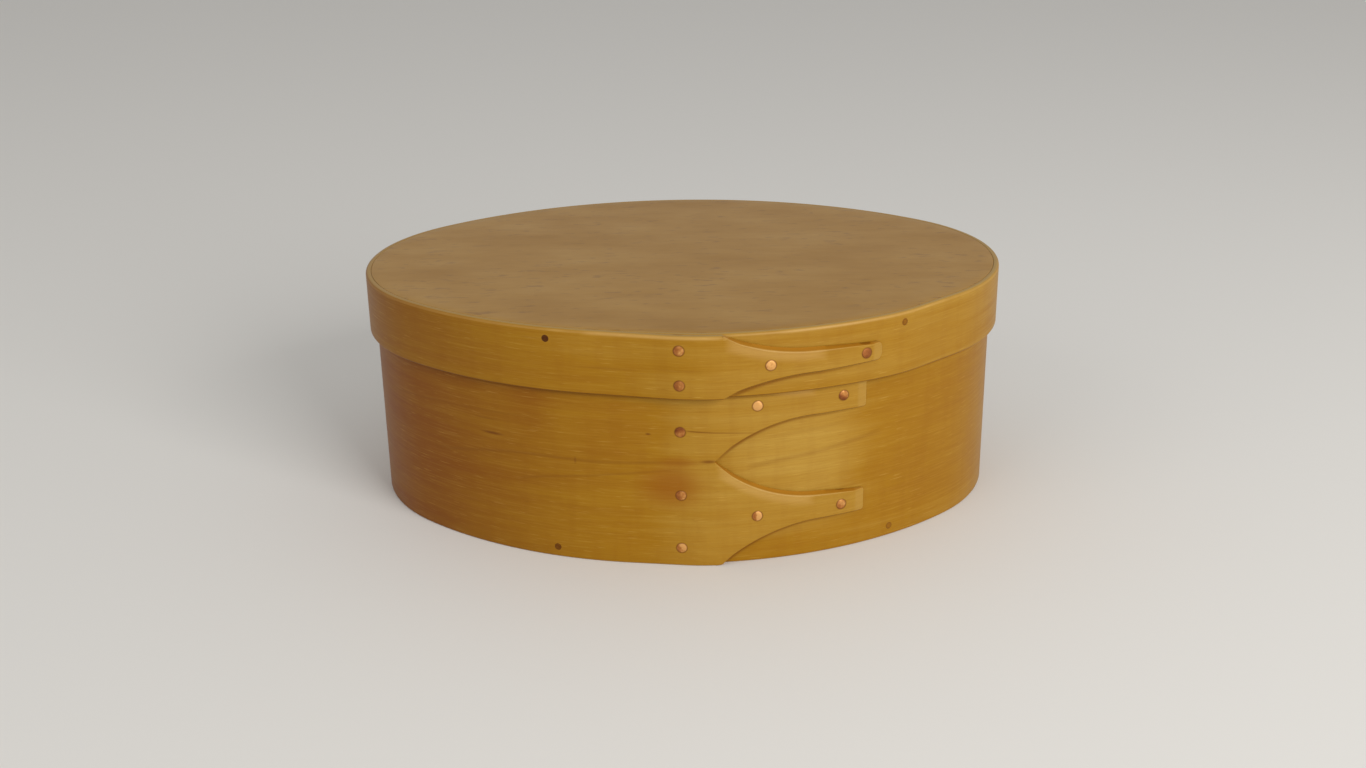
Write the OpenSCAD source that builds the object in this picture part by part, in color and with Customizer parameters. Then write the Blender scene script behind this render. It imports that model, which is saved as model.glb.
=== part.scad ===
// Oval box with a lift-off lid. The box and the lid are each one thin strip of wood, bent round
// an oval core, lapped on itself at the front with swallowtail fingers and held by clinched
// copper tacks. A board closes each of them and is held by wooden pegs driven through the strip.
// Millimetres. The origin is the middle of the underside, X runs along the box, Z is up and the
// lap faces -Y.

/* [Oval] */
// Length inside the box
inside_length = 195; // [190:1:225]
// Width inside the box
inside_width = 142; // [132:1:150]
// Half of the angle that each long side turns through
side_angle = 43; // [42:0.5:48]

/* [Bands] */
// Thickness of the bent strips
band_thickness = 1.7; // [1.4:0.1:2.1]
// Height of the box's strip
box_height = 67; // [56:1:80]
// Height of the lid's strip
lid_height = 19; // [16:0.5:24]
// Gap all round between the box and the lid that slides over it
lid_clearance = 0.6; // [0.5:0.05:1]
// Gap between the two layers of a lap
lap_gap = 0.15; // [0.15:0.01:0.25]
// Thickness left at the feathered inner end of a strip
feather_edge = 0.25; // [0.2:0.05:0.5]
// Where the line of tacks stands, along the front from the middle of the box
lap_shift = -1.2; // [-4:0.1:1]
// How far past the line of tacks the strip settles on the layer below
lap_landing = 13; // [10:0.5:14]

/* [Boards] */
// Thickness of the base and of the lid's board
board_thickness = 6.35; // [5:0.05:8]
// Gap between a board's edge and the clinched points inside the strip
board_fit = 0.05; // [0.05:0.01:0.2]

/* [Fingers] */
// Number of fingers on the box
box_finger_count = 2; // [1:1:3]
// Line of tacks to the tips of the box's fingers
box_finger_length = 57.2; // [50:0.1:60]
// Line of tacks to where the box's fingers part
box_finger_root = 10; // [8:0.5:14]
// Line of tacks to where the box's fingers turn straight
box_finger_shoulder = 41; // [36:0.5:44]
// Width of the box's fingers where they turn straight
box_finger_neck = 9.5; // [8:0.1:12]
// Width of the box's fingers at their tips
box_finger_tip = 8; // [7:0.1:9.4]
// Corner radius of the box's finger tips
box_finger_corner = 1; // [0.5:0.1:2]
// How far the box's fingers lean down at their tips
box_finger_lean = 1.6; // [0:0.1:2]
// How far the upper edge of the top finger rises instead, so that it ends under the lid
box_finger_rise = 1.1; // [0:0.1:2]
// Line of tacks to the tip of the lid's finger
lid_finger_length = 61.8; // [54:0.1:62]
// Line of tacks to where the lid's finger starts
lid_finger_root = 12.4; // [10:0.1:16]
// Line of tacks to where the lid's finger turns straight
lid_finger_shoulder = 40; // [36:0.5:44]
// Width of the lid's finger where it turns straight
lid_finger_neck = 7.6; // [6.4:0.1:9]
// Width of the lid's finger at its tip
lid_finger_tip = 6.2; // [5.4:0.1:7]
// Corner radius of the lid's finger tip
lid_finger_corner = 2.2; // [1:0.1:2.3]
// Slope of the fingers' cut edges
finger_bevel = 20; // [5:1:30]
// Thickness left at the tips
tip_thickness = 0.4; // [0.3:0.05:1]
// Length over which the tips are thinned
tip_taper = 4; // [3:0.5:5]

/* [Copper tacks] */
// Diameter of the head
head_diameter = 3.2; // [2.6:0.1:3.8]
// How far the head is sunk in the wood
head_sink = 0.35; // [0.2:0.05:0.5]
// How far the head's dome stands out
head_dome = 0.2; // [0.1:0.05:0.25]
// Diameter of the shank
shank_diameter = 1.5; // [1.1:0.1:1.8]
// Length of the point that is clinched over inside
clinch_length = 2.8; // [2:0.1:3.5]
// Thickness of the clinched point
clinch_thickness = 0.4; // [0.3:0.05:0.5]
// How far the clinched point stands out of the wood
clinch_proud = 0.1; // [0.05:0.05:0.15]
// Gap round a tack in its hole
tack_fit = 0.05; // [0.02:0.01:0.1]
// Edge of the box's strip to the nearest tack of the line
box_line_inset = 6.5; // [5:0.5:8]
// Parting of the box's fingers to the tacks of the line beside it
box_line_spread = 10; // [6:0.5:11]
// Edge of the lid's strip to the tacks of the line
lid_line_inset = 4.3; // [3.5:0.1:6]
// Line of tacks to the tack in the middle of a finger of the box
box_mid_tack = 22.4; // [20:0.1:26]
// Line of tacks to the tack in the middle of the lid's finger
lid_mid_tack = 26; // [22:0.1:28]
// How far the tacks of the lowest finger stand below its middle. The box's line drops half as far
box_tack_drop = 1.3; // [0:0.1:1.4]
// Tips of the box's fingers to their last tacks
box_tip_inset = 8.4; // [6:0.1:9]
// Tip of the lid's finger to its last tack
lid_tip_inset = 6.4; // [6:0.1:8]

/* [Wooden pegs] */
// Number of pegs in each board
peg_count = 5; // [4:1:8]
// Diameter of a peg
peg_diameter = 2.2; // [1.6:0.1:2.6]
// Length of a peg
peg_length = 14; // [9:0.5:18]
// Length of a peg's point
peg_point = 3; // [1:0.5:4]
// Diameter at the end of the point
peg_tip_diameter = 1; // [0.6:0.1:1.4]
// Gap round a peg in its hole
peg_fit = 0.05; // [0.02:0.01:0.1]
// Middle of the front to the first peg, right of the lap
first_peg = 64.5; // [62:0.5:70]
// Middle of the front to the last peg, left of the lap
last_peg = 38.5; // [36:0.5:46]

/* [Hidden] */
$fn = 96;
past = 1; // how far a cutter reaches past what it cuts
kerf = 0.2; // width of the cut where two fingers part
ramp_gap = 0.8 * lap_gap; // gap over the feather, so that it runs out onto the full thickness
ramp_share = 0.75; // flat part of a ramp, as a share of the longest that its step allows
facet = 2.2; // longest flat that stands in for a curve of the walls
arc_steps = 16; // stations along the curve of a finger
shank_steps = 6; // stations along the straight part of a finger
corner_steps = 4; // stations round the corner of a tip
down_margin = 1; // degrees from the longest finger to where the lid's wall turns in again

// The oval is four arcs that meet in a common tangent: two long sides and two ends.
half_length = inside_length / 2;
half_width = inside_width / 2;
end_radius = (half_width - half_length * tan(side_angle / 2)) / (1 - tan(side_angle / 2));
end_centre = half_length - end_radius;
side_centre = end_centre / tan(side_angle);
side_radius = half_width + side_centre;

// A lap's step is a path [low radius, high radius, angle where it lands, angle where a wall that
// clears it turns in again].
// Angles turn about the centre of the front arc, from the middle of the front towards +X.
line_angle = degrees_of(lap_shift, side_radius);
box_low = side_radius;
box_high = box_low + band_thickness + lap_gap;
box_face = box_high + band_thickness;
lid_off = band_thickness + lid_clearance; // box's inner wall to the lid's, where neither is lapped
board_gap = clinch_proud + board_fit; // strip's inner wall to a board's edge
lid_low = box_low + lid_off;
lid_high = box_high + lid_off + band_thickness + lap_gap;
lid_face = lid_high + band_thickness;
landing_angle = line_angle + degrees_of(lap_landing, box_high);
leaving_angle = down_margin + line_angle
    + max(degrees_of(box_finger_length, box_face), degrees_of(lid_finger_length, lid_face));
box_path = [box_low, box_high, landing_angle, leaving_angle];
lid_path = [lid_low, lid_high, landing_angle, leaving_angle];
plain_path = [box_low, box_low, landing_angle, leaving_angle]; // without a step

// Fingers: [count, root, shoulder, length, neck width, tip width, corner radius, lean, rise]
box_fingers = [box_finger_count, box_finger_root, box_finger_shoulder, box_finger_length,
    box_finger_neck, box_finger_tip, box_finger_corner, box_finger_lean, box_finger_rise];
lid_fingers = [1, lid_finger_root, lid_finger_shoulder, lid_finger_length,
    lid_finger_neck, lid_finger_tip, lid_finger_corner, 0, 0];

// Tacks: [distance from the line of tacks, height on the strip]
box_tacks = tack_places(box_fingers, box_height, box_line_inset, box_line_spread,
    box_mid_tack, box_tip_inset, box_tack_drop);
lid_tacks = tack_places(lid_fingers, lid_height, lid_line_inset, lid_line_inset,
    lid_mid_tack, lid_tip_inset, 0);

lid_bottom = box_height + board_thickness - lid_height;
lid_board_mid = box_height + board_thickness / 2;
side_arc = side_radius * radians_of(side_angle);
end_arc = 2 * end_radius * radians_of(90 - side_angle);
oval_length = 4 * side_arc + 2 * end_arc;
peg_pitch = (oval_length - first_peg - last_peg) / (peg_count - 1);

function numbered(stem, count) = [for (i = [1:count]) str(stem, "_", i)];
function radians_of(angle) = angle * PI / 180;
function degrees_of(arc, radius) = arc / radius * 180 / PI;

// A point at an angle and radius about the centre of the front arc
function front_point(angle, radius) = [radius * sin(angle), side_centre - radius * cos(angle)];

// A ramp lifts the strip by one layer. It leaves the low circle on a flat that is tangent to it,
// and a tighter arc brings it round onto the high circle.
function ramp_flat(path) = ramp_share * sqrt(pow(path[1], 2) - pow(path[0], 2));
function ramp_arc(path) = (path[0] + path[1]) / 2 * (1 - pow(ramp_share, 2));
function ramp_sweep(path) = atan2(ramp_flat(path), path[0] - ramp_arc(path));
function ramp_start(path) = path[2] - ramp_sweep(path);

// Radius of a path at an angle, moved out by an offset
function path_radius(path, angle, offset) =
    let (turned = angle - ramp_start(path), flat_turn = atan2(ramp_flat(path), path[0] + offset),
        centre = path[1] - ramp_arc(path), arc = ramp_arc(path) + offset, left = angle - path[2])
    turned <= 0 ? path[0] + offset
    : turned <= flat_turn ? (path[0] + offset) / cos(turned)
    : left < 0 ? centre * cos(left) + sqrt(pow(arc, 2) - pow(centre * sin(left), 2))
    : path[1] + offset;

// Direction in which the outside of a path faces at an angle
function path_normal(path, angle, offset) =
    let (turned = angle - ramp_start(path), flat_turn = atan2(ramp_flat(path), path[0] + offset),
        centre = path[1] - ramp_arc(path), arc = ramp_arc(path) + offset, left = angle - path[2])
    turned <= 0 || left >= 0 ? angle
    : turned <= flat_turn ? ramp_start(path)
    : angle + asin(centre * sin(left) / arc);

// Radius of a wall that follows a step and turns in again past it
function wall_radius(step, angle, offset) =
    path_radius(step, min(angle, step[2] + step[3] - angle), offset);

// Angle at which the feathered inner end stops, where it is feather_edge thick
function feather_angle(path) =
    ramp_start(path) + acos((path[0] - ramp_gap) / (path[0] + feather_edge));

// Outside of a strip's first turn, which is feathered where the ramp passes over it
function first_radius(path, step, angle, offset) =
    min(wall_radius(step, angle, offset + band_thickness), path_radius(path, angle, -ramp_gap));

// Outside of a strip's second turn, which is thinned towards the tips
function second_radius(path, angle, tip) =
    let (taper = degrees_of(tip_taper, path[1] + band_thickness))
    min(path_radius(path, angle, band_thickness),
        path[1] + tip_thickness + (band_thickness - tip_thickness) * (tip - angle) / taper);

// Half the width of a finger at a distance from the line of tacks
function finger_half(fingers, pitch, s) =
    let (root = fingers[1], shoulder = fingers[2], tip = fingers[3], neck = fingers[4] / 2,
        end = fingers[5] / 2, corner = fingers[6], drop = (pitch - kerf) / 2 - neck,
        run = shoulder - root, arc = (run * run + drop * drop) / (2 * drop),
        narrowing = (neck - end) / (tip - shoulder), bend = tip - corner)
    s < shoulder ? neck + arc - sqrt(arc * arc - pow(shoulder - s, 2))
    : s <= bend ? neck - narrowing * (s - shoulder)
    : neck - narrowing * (bend - shoulder) - corner
        + sqrt(max(0, corner * corner - pow(min(s, tip) - bend, 2)));

// Height of the parting below finger i, or of the top edge's, at a distance from the line of tacks
function finger_parting(fingers, pitch, i, s) =
    i * pitch + (i == fingers[0] ? fingers[8] : -fingers[7])
        * pow((s - fingers[1]) / (fingers[3] - fingers[1]), 2);

function finger_stations(fingers) =
    let (root = fingers[1], shoulder = fingers[2], tip = fingers[3], bend = tip - fingers[6])
    concat([for (i = [0:arc_steps - 1]) root + (shoulder - root) * i / arc_steps],
        [for (i = [0:shank_steps - 1]) shoulder + (bend - shoulder) * i / shank_steps],
        [for (i = [0:corner_steps]) bend + (tip - bend) * sin(90 * i / corner_steps)],
        [tip + past]);

// Two tacks stand on the line for each finger, one in its middle and one near its tip
function tack_places(fingers, height, inset, spread, mid_tack, tip_inset, drop) =
    let (last = fingers[0] - 1, pitch = height / fingers[0],
        middles = [for (i = [0:last]) (i + 0.5) * pitch - (i == 0 ? drop : 0)])
    concat(
        [for (i = [0:last]) each [[0, i * pitch + (i == 0 ? inset : spread) - drop / 2],
            [0, (i + 1) * pitch - (i == last ? inset : spread) - drop / 2]]],
        [for (z = middles) [mid_tack, z]],
        [for (z = middles) [fingers[3] - tip_inset, z]]);

// Distance of a peg along the oval, from the middle of the front towards +X
function peg_distance(i) = first_peg + i * peg_pitch;

// The oval's [centre x, centre y, radius, direction] at a distance along it
function oval_at(s) =
    s < side_arc ? [0, side_centre, side_radius, degrees_of(s, side_radius)]
    : s < side_arc + end_arc
        ? [end_centre, 0, end_radius, side_angle + degrees_of(s - side_arc, end_radius)]
    : s < 3 * side_arc + end_arc
        ? [0, -side_centre, side_radius, 180 + degrees_of(s - 2 * side_arc - end_arc, side_radius)]
    : s < 3 * side_arc + 2 * end_arc
        ? [-end_centre, 0, end_radius,
            180 + side_angle + degrees_of(s - 3 * side_arc - end_arc, end_radius)]
    : [0, side_centre, side_radius, 360 + degrees_of(s - oval_length, side_radius)];

// Stations from one angle up to the next arc
function turns(radius, from, to) =
    let (steps = ceil(radius * radians_of(to - from) / facet))
    [for (i = [0:steps - 1]) from + (to - from) * i / steps];

function arc_points(centre, radius, from, to) =
    [for (angle = turns(radius, from, to)) centre + radius * [sin(angle), -cos(angle)]];

// Points round the right end, the back and the left end of the oval, moved out by an offset
function round_points(offset) = concat(
    arc_points([end_centre, 0], end_radius + offset, side_angle, 180 - side_angle),
    arc_points([0, -side_centre], side_radius + offset, 180 - side_angle, 180 + side_angle),
    arc_points([-end_centre, 0], end_radius + offset, 180 + side_angle, 360 - side_angle));

// Points of a whole wall whose front follows a step, moved out by an offset
function wall_points(step, offset) = concat(
    [for (angle = turns(side_radius, -side_angle, side_angle))
        front_point(angle, wall_radius(step, angle, offset))],
    round_points(offset));

// Plan of a strip: out along its outside from the feathered end to the tips, and back inside
function strip_points(path, step, offset, tip) =
    let (start = ramp_start(path), first = turns(side_radius, feather_angle(path), side_angle),
        low = turns(side_radius, -side_angle, start),
        second = concat(turns(side_radius, start, tip), [tip]),
        outside = concat(
            [for (angle = first) front_point(angle, first_radius(path, step, angle, offset))],
            round_points(offset + band_thickness),
            [for (angle = low) front_point(angle, path[0] + band_thickness)],
            [for (angle = second) front_point(angle, second_radius(path, angle, tip))]),
        inside = concat(
            [for (angle = first) front_point(angle, wall_radius(step, angle, offset))],
            round_points(offset),
            [for (angle = low) front_point(angle, path[0])],
            [for (angle = second) front_point(angle, path_radius(path, angle, 0))]))
    concat(outside, [for (i = [len(inside) - 1:-1:0]) inside[i]]);

// A solid through four-cornered sections
module loft(sections) {
    last = len(sections) - 1;
    sides = [for (i = [0:last - 1], k = [0:3])
        let (a = 4 * i + k, b = 4 * i + (k + 1) % 4) each [[a, a + 4, b], [b, a + 4, b + 4]]];
    polyhedron(points = [for (section = sections) each section],
        faces = concat([[0, 1, 2, 3]], sides, [[for (k = [3:-1:0]) 4 * last + k]]));
}

// The opening below finger i, drawn flat, wrapped round the lap and wider outside by the bevel
module finger_gap(path, fingers, height, i) {
    pitch = height / fingers[0];
    face = path[1] + band_thickness;
    inner = path[1] - lap_gap / 2;
    outer = face + past;
    function place(s, z, radius) =
        let (at = front_point(line_angle + degrees_of(s, face), radius)) [at[0], at[1], z];
    function edge(s, radius) =
        pitch / 2 - finger_half(fingers, pitch, s) + (radius - path[1]) * tan(finger_bevel);
    function parting(s) = finger_parting(fingers, pitch, i, s);
    function low(s, radius) = i == 0 ? -past : parting(s) - edge(s, radius);
    function high(s, radius) = i == fingers[0] ? height + past : parting(s) + edge(s, radius);
    loft([for (s = finger_stations(fingers))
        [place(s, low(s, inner), inner), place(s, high(s, inner), inner),
            place(s, high(s, outer), outer), place(s, low(s, outer), outer)]]);
}

// Puts its children on the outside of a strip, with Z pointing out of the wood and Y up
module on_lap(path, place) {
    angle = line_angle + degrees_of(place[0], path[1] + band_thickness);
    at = front_point(angle, path_radius(path, angle, band_thickness));
    translate([at[0], at[1], place[1]])
        rotate([90, 0, path_normal(path, angle, band_thickness)])
            children();
}

// Wood from the outside of a lap to the inner wall
function lap_grip(path, step, offset, place) =
    let (angle = line_angle + degrees_of(place[0], path[1] + band_thickness))
    path_radius(path, angle, band_thickness) - wall_radius(step, angle, offset);

function box_grip(place) = lap_grip(box_path, plain_path, 0, place);
function lid_grip(place) = lap_grip(lid_path, box_path, lid_off, place);

// Outline of a clinched point, which lies down the wall from the shank
module clinch_outline(extra) {
    width = shank_diameter + 2 * extra;
    circle(d = width);
    polygon([[-width / 2, 0], [width / 2, 0], [width / 6, -clinch_length - extra],
        [-width / 6, -clinch_length - extra]]);
}

module tack(grip) {
    head_radius = head_diameter / 2;
    dome_radius = (pow(head_radius, 2) + pow(head_dome, 2)) / (2 * head_dome);
    bottom = -grip - clinch_proud;
    color("#c9805c") {
        rotate_extrude()
            intersection() {
                translate([0, head_dome - dome_radius])
                    circle(dome_radius);
                translate([0, -head_sink])
                    square([head_radius, head_sink + head_dome]);
            }
        translate([0, 0, bottom])
            cylinder(d = shank_diameter, h = -bottom - head_sink / 2);
        translate([0, 0, bottom])
            linear_extrude(clinch_thickness)
                clinch_outline(0);
    }
}

// The hole for a tack, with the seats for its head and its clinched point
module tack_hole(grip) {
    bottom = -grip - past;
    translate([0, 0, bottom])
        cylinder(d = shank_diameter + 2 * tack_fit, h = -bottom);
    translate([0, 0, -head_sink - tack_fit])
        cylinder(d = head_diameter + 2 * tack_fit, h = head_sink + past);
    translate([0, 0, bottom])
        linear_extrude(past - clinch_proud + clinch_thickness + tack_fit)
            clinch_outline(tack_fit);
}

// Puts its children on the oval's wall at peg i, with Z pointing out
module on_oval(i, height) {
    at = oval_at(peg_distance(i));
    translate([at[0], at[1], height])
        rotate([90, 0, at[3]])
            translate([0, 0, at[2]])
                children();
}

// A peg reaches from past the outside, where it is cut flush, into the board
module peg(i, height, offset) {
    radius = peg_diameter / 2;
    start = offset + band_thickness - peg_length;
    on_oval(i, height)
        rotate_extrude()
            polygon([[0, start], [peg_tip_diameter / 2, start], [radius, start + peg_point],
                [radius, start + peg_length + 3 * past], [0, start + peg_length + 3 * past]]);
}

module peg_hole(i, height, offset) {
    start = offset + band_thickness - peg_length - peg_fit;
    on_oval(i, height)
        translate([0, 0, start])
            cylinder(d = peg_diameter + 2 * peg_fit, h = peg_length + 5 * past);
}

// A strip of wood bent round, lapped on itself and cut to fingers
module lapped_band(path, step, offset, fingers, height) {
    tip = line_angle + degrees_of(fingers[3], path[1] + band_thickness);
    difference() {
        linear_extrude(height)
            polygon(strip_points(path, step, offset, tip));
        for (i = [0:fingers[0]])
            finger_gap(path, fingers, height, i);
    }
}

module box_band() {
    color("#b98a35")
        difference() {
            lapped_band(box_path, plain_path, 0, box_fingers, box_height);
            for (place = box_tacks)
                on_lap(box_path, place)
                    tack_hole(box_grip(place));
            for (i = [0:peg_count - 1])
                peg_hole(i, board_thickness / 2, 0);
        }
}

module lid_band() {
    color("#c0923c")
        difference() {
            translate([0, 0, lid_bottom])
                lapped_band(lid_path, box_path, lid_off, lid_fingers, lid_height);
            for (place = lid_tacks)
                translate([0, 0, lid_bottom])
                    on_lap(lid_path, place)
                        tack_hole(lid_grip(place));
            for (i = [0:peg_count - 1])
                peg_hole(i, lid_board_mid, lid_off);
        }
}

module base_board() {
    color("#a9855a")
        difference() {
            linear_extrude(board_thickness)
                polygon(wall_points(plain_path, -board_gap));
            for (i = [0:peg_count - 1])
                peg_hole(i, board_thickness / 2, 0);
        }
}

module lid_board() {
    color("#a9855a")
        difference() {
            translate([0, 0, box_height])
                linear_extrude(board_thickness)
                    polygon(wall_points(box_path, lid_off - board_gap));
            for (i = [0:peg_count - 1])
                peg_hole(i, lid_board_mid, lid_off);
        }
}

module box_tack(i) {
    on_lap(box_path, box_tacks[i])
        tack(box_grip(box_tacks[i]));
}

module lid_tack(i) {
    translate([0, 0, lid_bottom])
        on_lap(lid_path, lid_tacks[i])
            tack(lid_grip(lid_tacks[i]));
}

module box_peg(i) {
    color("#6b4520")
        intersection() {
            peg(i, board_thickness / 2, 0);
            linear_extrude(board_thickness)
                polygon(wall_points(plain_path, band_thickness));
        }
}

module lid_peg(i) {
    color("#6b4520")
        intersection() {
            peg(i, lid_board_mid, lid_off);
            translate([0, 0, box_height])
                linear_extrude(board_thickness)
                    polygon(wall_points(box_path, lid_off + band_thickness));
        }
}

box_band();
base_board();
lid_band();
lid_board();
for (i = [0:len(box_tacks) - 1])
    box_tack(i);
for (i = [0:len(lid_tacks) - 1])
    lid_tack(i);
for (i = [0:peg_count - 1])
    box_peg(i);
for (i = [0:peg_count - 1])
    lid_peg(i);
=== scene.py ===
import math

import bmesh
import bpy
import numpy as np
from mathutils import Matrix, Vector


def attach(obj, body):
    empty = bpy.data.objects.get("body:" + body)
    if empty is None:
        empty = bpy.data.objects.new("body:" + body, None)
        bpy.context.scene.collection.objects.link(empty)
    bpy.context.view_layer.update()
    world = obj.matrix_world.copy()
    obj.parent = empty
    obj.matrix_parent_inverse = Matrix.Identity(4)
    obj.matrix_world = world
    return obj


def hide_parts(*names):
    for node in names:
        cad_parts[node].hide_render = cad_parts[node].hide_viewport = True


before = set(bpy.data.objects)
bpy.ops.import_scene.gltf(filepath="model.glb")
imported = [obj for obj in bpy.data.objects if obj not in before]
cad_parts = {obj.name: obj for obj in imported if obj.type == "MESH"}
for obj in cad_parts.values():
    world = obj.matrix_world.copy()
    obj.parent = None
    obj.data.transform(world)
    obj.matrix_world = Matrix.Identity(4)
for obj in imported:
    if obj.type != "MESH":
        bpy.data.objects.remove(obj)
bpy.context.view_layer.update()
mm = 0.001

# the oval that both strips are bent round: two flat arcs for the sides, two tighter ones for the ends
oval = dict(halfLength=97.5, halfWidth=71.0, sideAngle=43.0)
halfSide = math.tan(math.radians(oval["sideAngle"]) / 2)
endRadius = (oval["halfWidth"] - oval["halfLength"] * halfSide) / (1 - halfSide)
endCentre = oval["halfLength"] - endRadius
sideCentre = endCentre / math.tan(math.radians(oval["sideAngle"]))
sideRadius = oval["halfWidth"] + sideCentre
sideTurn = math.radians(oval["sideAngle"])

strip = dict(thickness=1.7, lapGap=0.15, clearance=0.6, lapShift=-1.2, landing=13.0, flatShare=0.75,
             featherEdge=0.25, tipThickness=0.4, tipTaper=4.0, tipRound=0.12, tipBlend=0.07, bevel=20.0, kerf=0.2,
             innerRound=0.2, rootRound=0.12, edgeRound=0.3, upperRound=0.6)
# where a finger's edges change: over what length from its root the bevel and the two roundings come in, and by what
# share and over what length past its shoulder the upper cut gets steeper and less rounded
edgeRuns = dict(bevel=5.0, lower=4.0, upper=12.0, steeper=0.45, steeperRun=12.0, crisper=0.6, crisperRun=10.0)
# distance between stations on the plain turn, on the ramp and along the fingers
stations = dict(turn=1.2, ramp=0.8, finger=0.5)
boards = dict(thickness=6.35, gap=0.04, edge=0.2)
# each strip's edges and roundings, and how much painted shade the rounding of its lower rim takes
boxStrip = dict(low=0.0, high=67.0, rimRound=0.5, topRound=0.45, rimPaintedShade=0.0)
lidStrip = dict(low=54.35, high=73.35, rimRound=0.45, topRound=0.95, rimPaintedShade=1.0)
boxFingers = dict(count=2, root=10.0, shoulder=41.0, length=57.2, neck=9.2, tip=7.4, corner=1.0, lean=1.6, rise=1.1,
                  fuller=1.9)
lidFingers = dict(count=1, root=12.4, shoulder=40.0, length=61.4, neck=7.8, tip=5.7, corner=2.2, lean=0.4, rise=-0.4,
                  fuller=0.0)

oneLayer = strip["thickness"] + strip["lapGap"]
featherGap = 0.8 * strip["lapGap"]  # left under the ramp by the feathered end
lidOff = strip["thickness"] + strip["clearance"]
lineAngle = strip["lapShift"] / sideRadius
landing = lineAngle + strip["landing"] / (sideRadius + oneLayer)
boxFace = sideRadius + oneLayer + strip["thickness"]
lidFace = sideRadius + oneLayer + lidOff + oneLayer + strip["thickness"]
leaving = math.radians(1) + lineAngle + max(boxFingers["length"] / boxFace, lidFingers["length"] / lidFace)


# a lap's step: low circle, a flat that is tangent to it, a tighter arc, high circle
def makePath(low, high):
    flat = strip["flatShare"] * math.sqrt(high**2 - low**2)
    arc = (low + high) / 2 * (1 - strip["flatShare"]**2)
    sweep = math.atan2(flat, low - arc)
    return dict(low=low, high=high, flat=flat, arc=arc, start=landing - sweep)


boxPath = makePath(sideRadius, sideRadius + oneLayer)
lidPath = makePath(sideRadius + lidOff, sideRadius + oneLayer + lidOff + oneLayer)


# which way the outside faces: along the radius, or square to the ramp's flat, or along the small arc's radius
def pathNormal(path, angle, offset):
    turned, left = angle - path["start"], angle - landing
    if turned <= 0 or left >= 0:
        return angle
    if turned <= math.atan2(path["flat"], path["low"] + offset):
        return path["start"]
    return angle + math.asin((path["high"] - path["arc"]) * math.sin(left) / (path["arc"] + offset))


# radius at an angle about the front arc's centre: low, then low over the cosine, then the small arc, then high
def pathRadius(path, angle, offset):
    turned, left = angle - path["start"], angle - landing
    centre, arc = path["high"] - path["arc"], path["arc"] + offset
    flatTurn = np.arctan2(path["flat"], path["low"] + offset)
    onArc = centre * np.cos(left) + np.sqrt(np.maximum(arc**2 - (centre * np.sin(left))**2, 0))
    onFlat = (path["low"] + offset) / np.cos(np.clip(turned, 0, 1))
    return np.select([turned <= 0, turned <= flatTurn, left < 0],
                     [np.full_like(angle, path["low"] + offset), onFlat, onArc], path["high"] + offset)


# radius of a wall that clears the box's lap: up its step, and down again past the fingers
def steppedRadius(angle, offset):
    return pathRadius(boxPath, np.minimum(angle, landing + leaving - angle), offset)


def plainRadius(angle, offset):
    return np.full_like(angle, sideRadius + offset)


# polar point about the centre of the front arc, from the middle of the front towards +X
def frontPoint(angle, radius):
    return np.stack([radius * np.sin(angle), sideCentre - radius * np.cos(angle)], -1)


# the oval by direction: the centre of the arc that faces that way, plus its radius along the direction
def ovalPoint(angle, offset):
    turn = np.mod(angle + sideTurn, 2 * np.pi) - sideTurn
    where = [turn < sideTurn, turn < np.pi - sideTurn, turn < np.pi + sideTurn]
    x = np.select(where, [0.0, endCentre, 0.0], -endCentre)
    y = np.select(where, [sideCentre, 0.0, -sideCentre], 0.0)
    radius = np.select(where, [sideRadius, endRadius, sideRadius], endRadius) + offset
    return np.stack([x + radius * np.sin(turn), y - radius * np.cos(turn)], -1)


# stations of a strip's first turn: inner and outer wall points from the feathered end round to the ramp
def firstTurn(path, under, base, start, stop):
    step = stations["turn"]
    front = np.arange(start, sideTurn, step / sideRadius)
    rest = np.concatenate([np.arange(sideTurn, np.pi - sideTurn, step / endRadius),
                           np.arange(np.pi - sideTurn, np.pi + sideTurn, step / sideRadius),
                           np.arange(np.pi + sideTurn, 2 * np.pi - sideTurn, step / endRadius)])
    low = np.arange(-sideTurn, stop, step / sideRadius)
    outer = np.minimum(under(front, base + strip["thickness"]), pathRadius(path, front, -featherGap))
    inside = np.concatenate([frontPoint(front, under(front, base)), ovalPoint(rest, base),
                             frontPoint(low, np.full_like(low, path["low"]))])
    outside = np.concatenate([frontPoint(front, outer), ovalPoint(rest, base + strip["thickness"]),
                              frontPoint(low, np.full_like(low, path["low"] + strip["thickness"]))])
    return inside, outside


# half a finger's width: an arc from the root to the shoulder, a straight narrowing, a round corner at the tip
def halfWidth(fingers, pitch, s):
    neck, end, corner = fingers["neck"] / 2, fingers["tip"] / 2, fingers["corner"]
    run, drop = fingers["shoulder"] - fingers["root"], (pitch - strip["kerf"]) / 2 - neck
    arc = (run**2 + drop**2) / (2 * drop)
    narrowing = (neck - end) / (fingers["length"] - fingers["shoulder"])
    bend = fingers["length"] - corner
    curve = neck + arc - np.sqrt(np.maximum(arc**2 - np.clip(fingers["shoulder"] - s, 0, run)**2, 0))
    line = neck - narrowing * (s - fingers["shoulder"])
    tip = (neck - narrowing * (bend - fingers["shoulder"]) - corner
           + np.sqrt(np.maximum(corner**2 - np.clip(s - bend, 0, corner)**2, 0)))
    return np.select([s < fingers["shoulder"], s <= bend], [curve, line], tip)


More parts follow.
